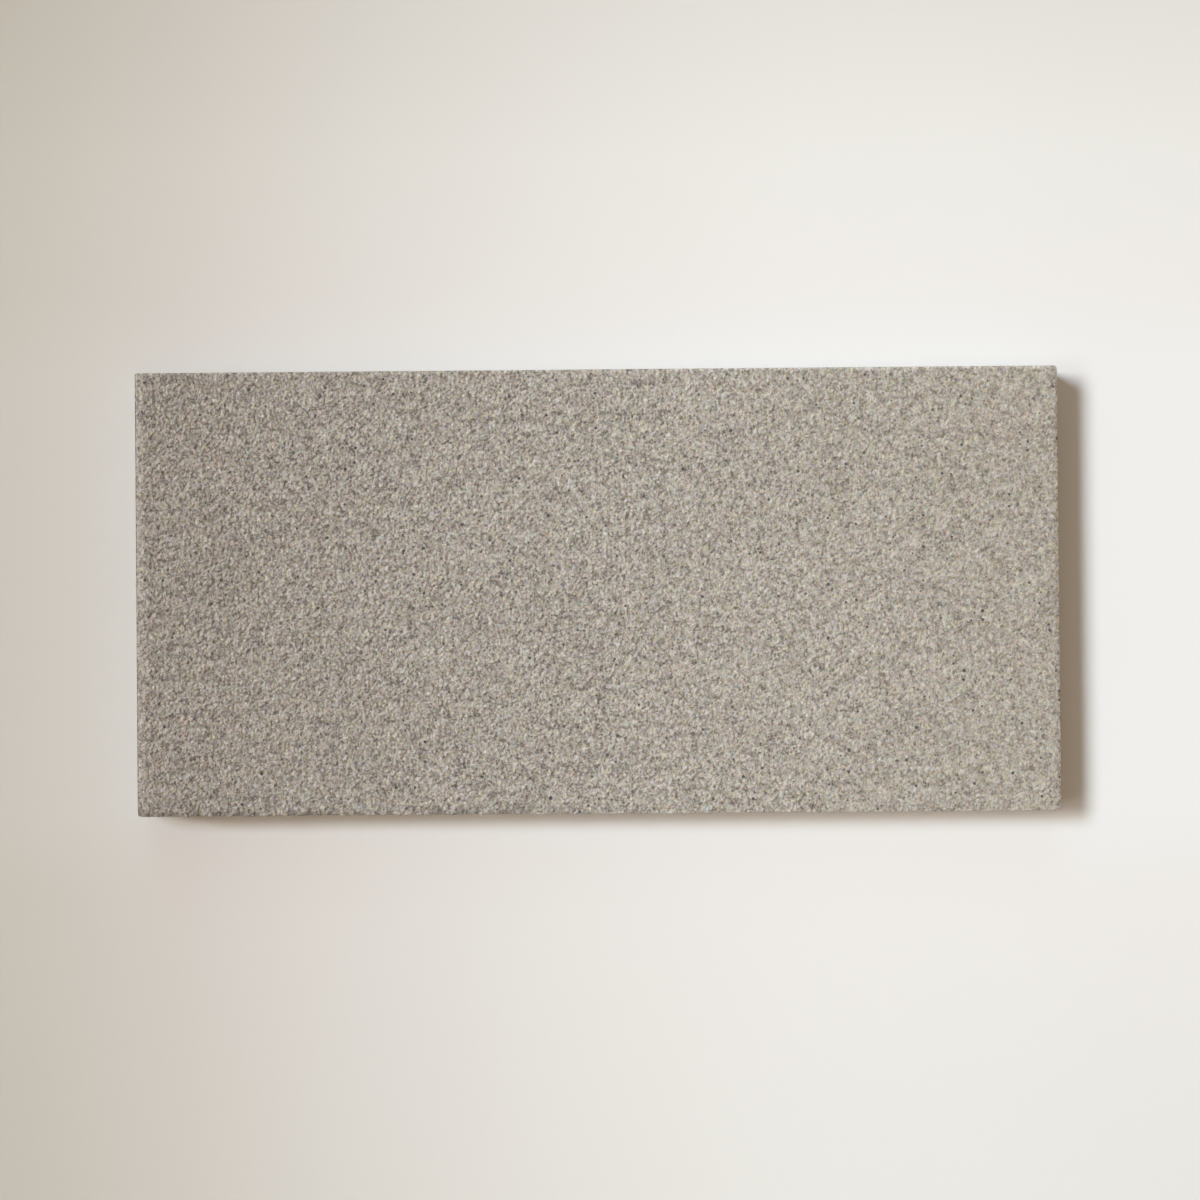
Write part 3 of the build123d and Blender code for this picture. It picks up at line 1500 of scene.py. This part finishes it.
@dataclass(frozen=True)
class DistantLamp:
    """A distant round lamp.

    Attributes:
        name: Its name.
        azimuth: Where it stands, in degrees from +X towards +Y.
        elevation: Its height in degrees.
        width: The angle that it fills, in degrees.
        level: How brightly it lights a level surface in red, green and blue.
    """

    name: str
    azimuth: float
    elevation: float
    width: float
    level: Colour

    def build(self) -> None:
        """Adds the lamp. Its strength is pi times the level over the sine of its elevation."""
        lamp = bpy.data.lights.new(self.name, "SUN")
        brightest = max(self.level)
        lamp.angle = math.radians(self.width)
        lamp.color = tuple(part / brightest for part in self.level)
        lamp.energy = math.pi * brightest / math.sin(math.radians(self.elevation))
        made = placed(self.name, lamp)
        made.rotation_euler = (math.radians(90 - self.elevation), 0.0, math.radians(90 + self.azimuth))


@dataclass(frozen=True)
class Flag:
    """A long board between the lamps and the tile, which keeps them softly apart.

    It takes the high lamps off what lies to the left, and the low one off what lies to the right.
    Neither the camera nor soft light sees it.

    Attributes:
        height: Its height over the floor.
        near: Where its edge towards the tile lies on X.
        far: Where its other edge lies.
        length: Its length along Y.
    """

    height: float = 0.466
    near: float = -0.569
    far: float = -1.046
    length: float = 4.0

    def build(self) -> bpy.types.Object:
        """A flat sheet that only casts shadow.

        Returns:
            The board.
        """
        ends = np.array([-self.length / 2, self.length / 2])
        flag = level_sheet("lamp_flag", np.array([self.far, self.near]), ends, self.height)
        for ray in ("camera", "diffuse", "glossy", "transmission"):
            setattr(flag, f"visible_{ray}", False)
        report(flag)
        return flag


@dataclass
class WindowLight:
    """Cool light from the far left, warmer light from all round, and a white backdrop.

    Attributes:
        lamps: The low window, the three parts of the high one, and faint sky behind the tile.
        flag: The board between the windows and the tile.
        ambient: How brightly each colour comes from all round.
    """

    lamps: tuple[DistantLamp, ...] = (
        DistantLamp("low_window", 169.9, 25.3, 9.0, (0.350, 0.350, 0.355)),
        DistantLamp("high_window", 170.2, 41.7, 15.2, (0.293, 0.307, 0.310)),
        DistantLamp("side_window", 155.0, 41.7, 15.2, (0.300, 0.353, 0.411)),
        DistantLamp("near_window", 195.0, 41.7, 15.2, (0.068, 0.071, 0.072)),
        DistantLamp("far_sky", 98.0, 26.2, 26.0, (0.023, 0.039, 0.051)),
    )
    flag: Flag = Flag()
    ambient: Colour = (0.305, 0.220, 0.142)

    def build(self) -> None:
        """Sets up the lamps, the flag and the world."""
        for lamp in self.lamps:
            lamp.build()
            log.info("%s: %.0f degrees up, %.0f wide", lamp.name, lamp.elevation, lamp.width)
        self.flag.build()
        self.world()

    def world(self) -> None:
        """Ambient light, and plain white for what the camera and reflections see."""
        world = bpy.data.worlds.new("studio")
        bpy.context.scene.world = world
        sheet = NodeSheet(world)
        rays = sheet.node("ShaderNodeLightPath", {}).outputs
        seen = rays["Is Camera Ray"]
        for name in ("Is Glossy Ray", "Is Transmission Ray"):
            seen = sheet.math("MAXIMUM", seen, rays[name])
        ambient, white = (
            sheet.node("ShaderNodeBackground", {"Color": colour}).outputs["Background"]
            for colour in (self.ambient, WHITE)
        )
        both = sheet.node("ShaderNodeMixShader", {0: seen, 1: ambient, 2: white})
        sheet.node("ShaderNodeOutputWorld", {"Surface": both.outputs["Shader"]})


@dataclass
class OverheadCamera:
    """The view straight down on the tile, turned by half a degree and barely tilted.

    Attributes:
        lens: Focal length in millimetres.
        sensor: Sensor width in millimetres.
        frame_width: The width of the view at the height of the face.
        centre: The place on the face that the view is centred on.
        roll: The turn of the camera about its own axis, in degrees.
        tilt: The lean of the view towards +Y, in degrees.
        nearest: The distance at which it starts to see.
    """

    lens: float = 50.0
    sensor: float = 36.0
    frame_width: float = 311.6 * MM
    centre: Pair = (0.61 * MM, -2.24 * MM)
    roll: float = -0.5
    tilt: float = 0.36
    nearest: float = 10 * MM

    def build(self, face_height: float) -> bpy.types.Object:
        """Adds the camera and makes it the scene's.

        It stands over the face by the view's width times the lens over the sensor, and aside by
        that distance times the tangent of the tilt.

        Args:
            face_height: The height of the tile's face.

        Returns:
            The camera.
        """
        data = bpy.data.cameras.new("overhead")
        data.lens = self.lens
        data.sensor_width = self.sensor
        data.clip_start = self.nearest
        camera = placed("overhead", data)
        height = face_height + self.frame_width * self.lens / self.sensor
        roll, tilt = math.radians(self.roll), math.radians(self.tilt)
        aside = (height - face_height) * math.tan(tilt)
        x, y = self.centre
        camera.location = (x + aside * math.sin(roll), y - aside * math.cos(roll), height)
        camera.rotation_euler = (tilt, 0.0, roll)
        bpy.context.scene.camera = camera
        log.info("camera: %.0f mm above the floor", height / MM)
        return camera


def report(piece: bpy.types.Object) -> None:
    """Logs a piece's name, faces and size."""
    size = " x ".join(f"{side / MM:.1f}" for side in piece.dimensions)
    log.info("%s: %d faces, %s mm", piece.name, len(piece.data.polygons), size)


def main() -> None:
    """Builds the tile, its floor, the light and the camera, in this order."""
    logging.basicConfig(level=logging.INFO, format="%(message)s")
    bpy.context.scene.view_settings.view_transform = "Standard"
    tile = ClinkerTile()
    face_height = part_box(tile.node)[1].z
    tile.build()
    StudioFloor().build()
    WindowLight().build()
    OverheadCamera().build(face_height)


if __name__ == "__main__":
    main()
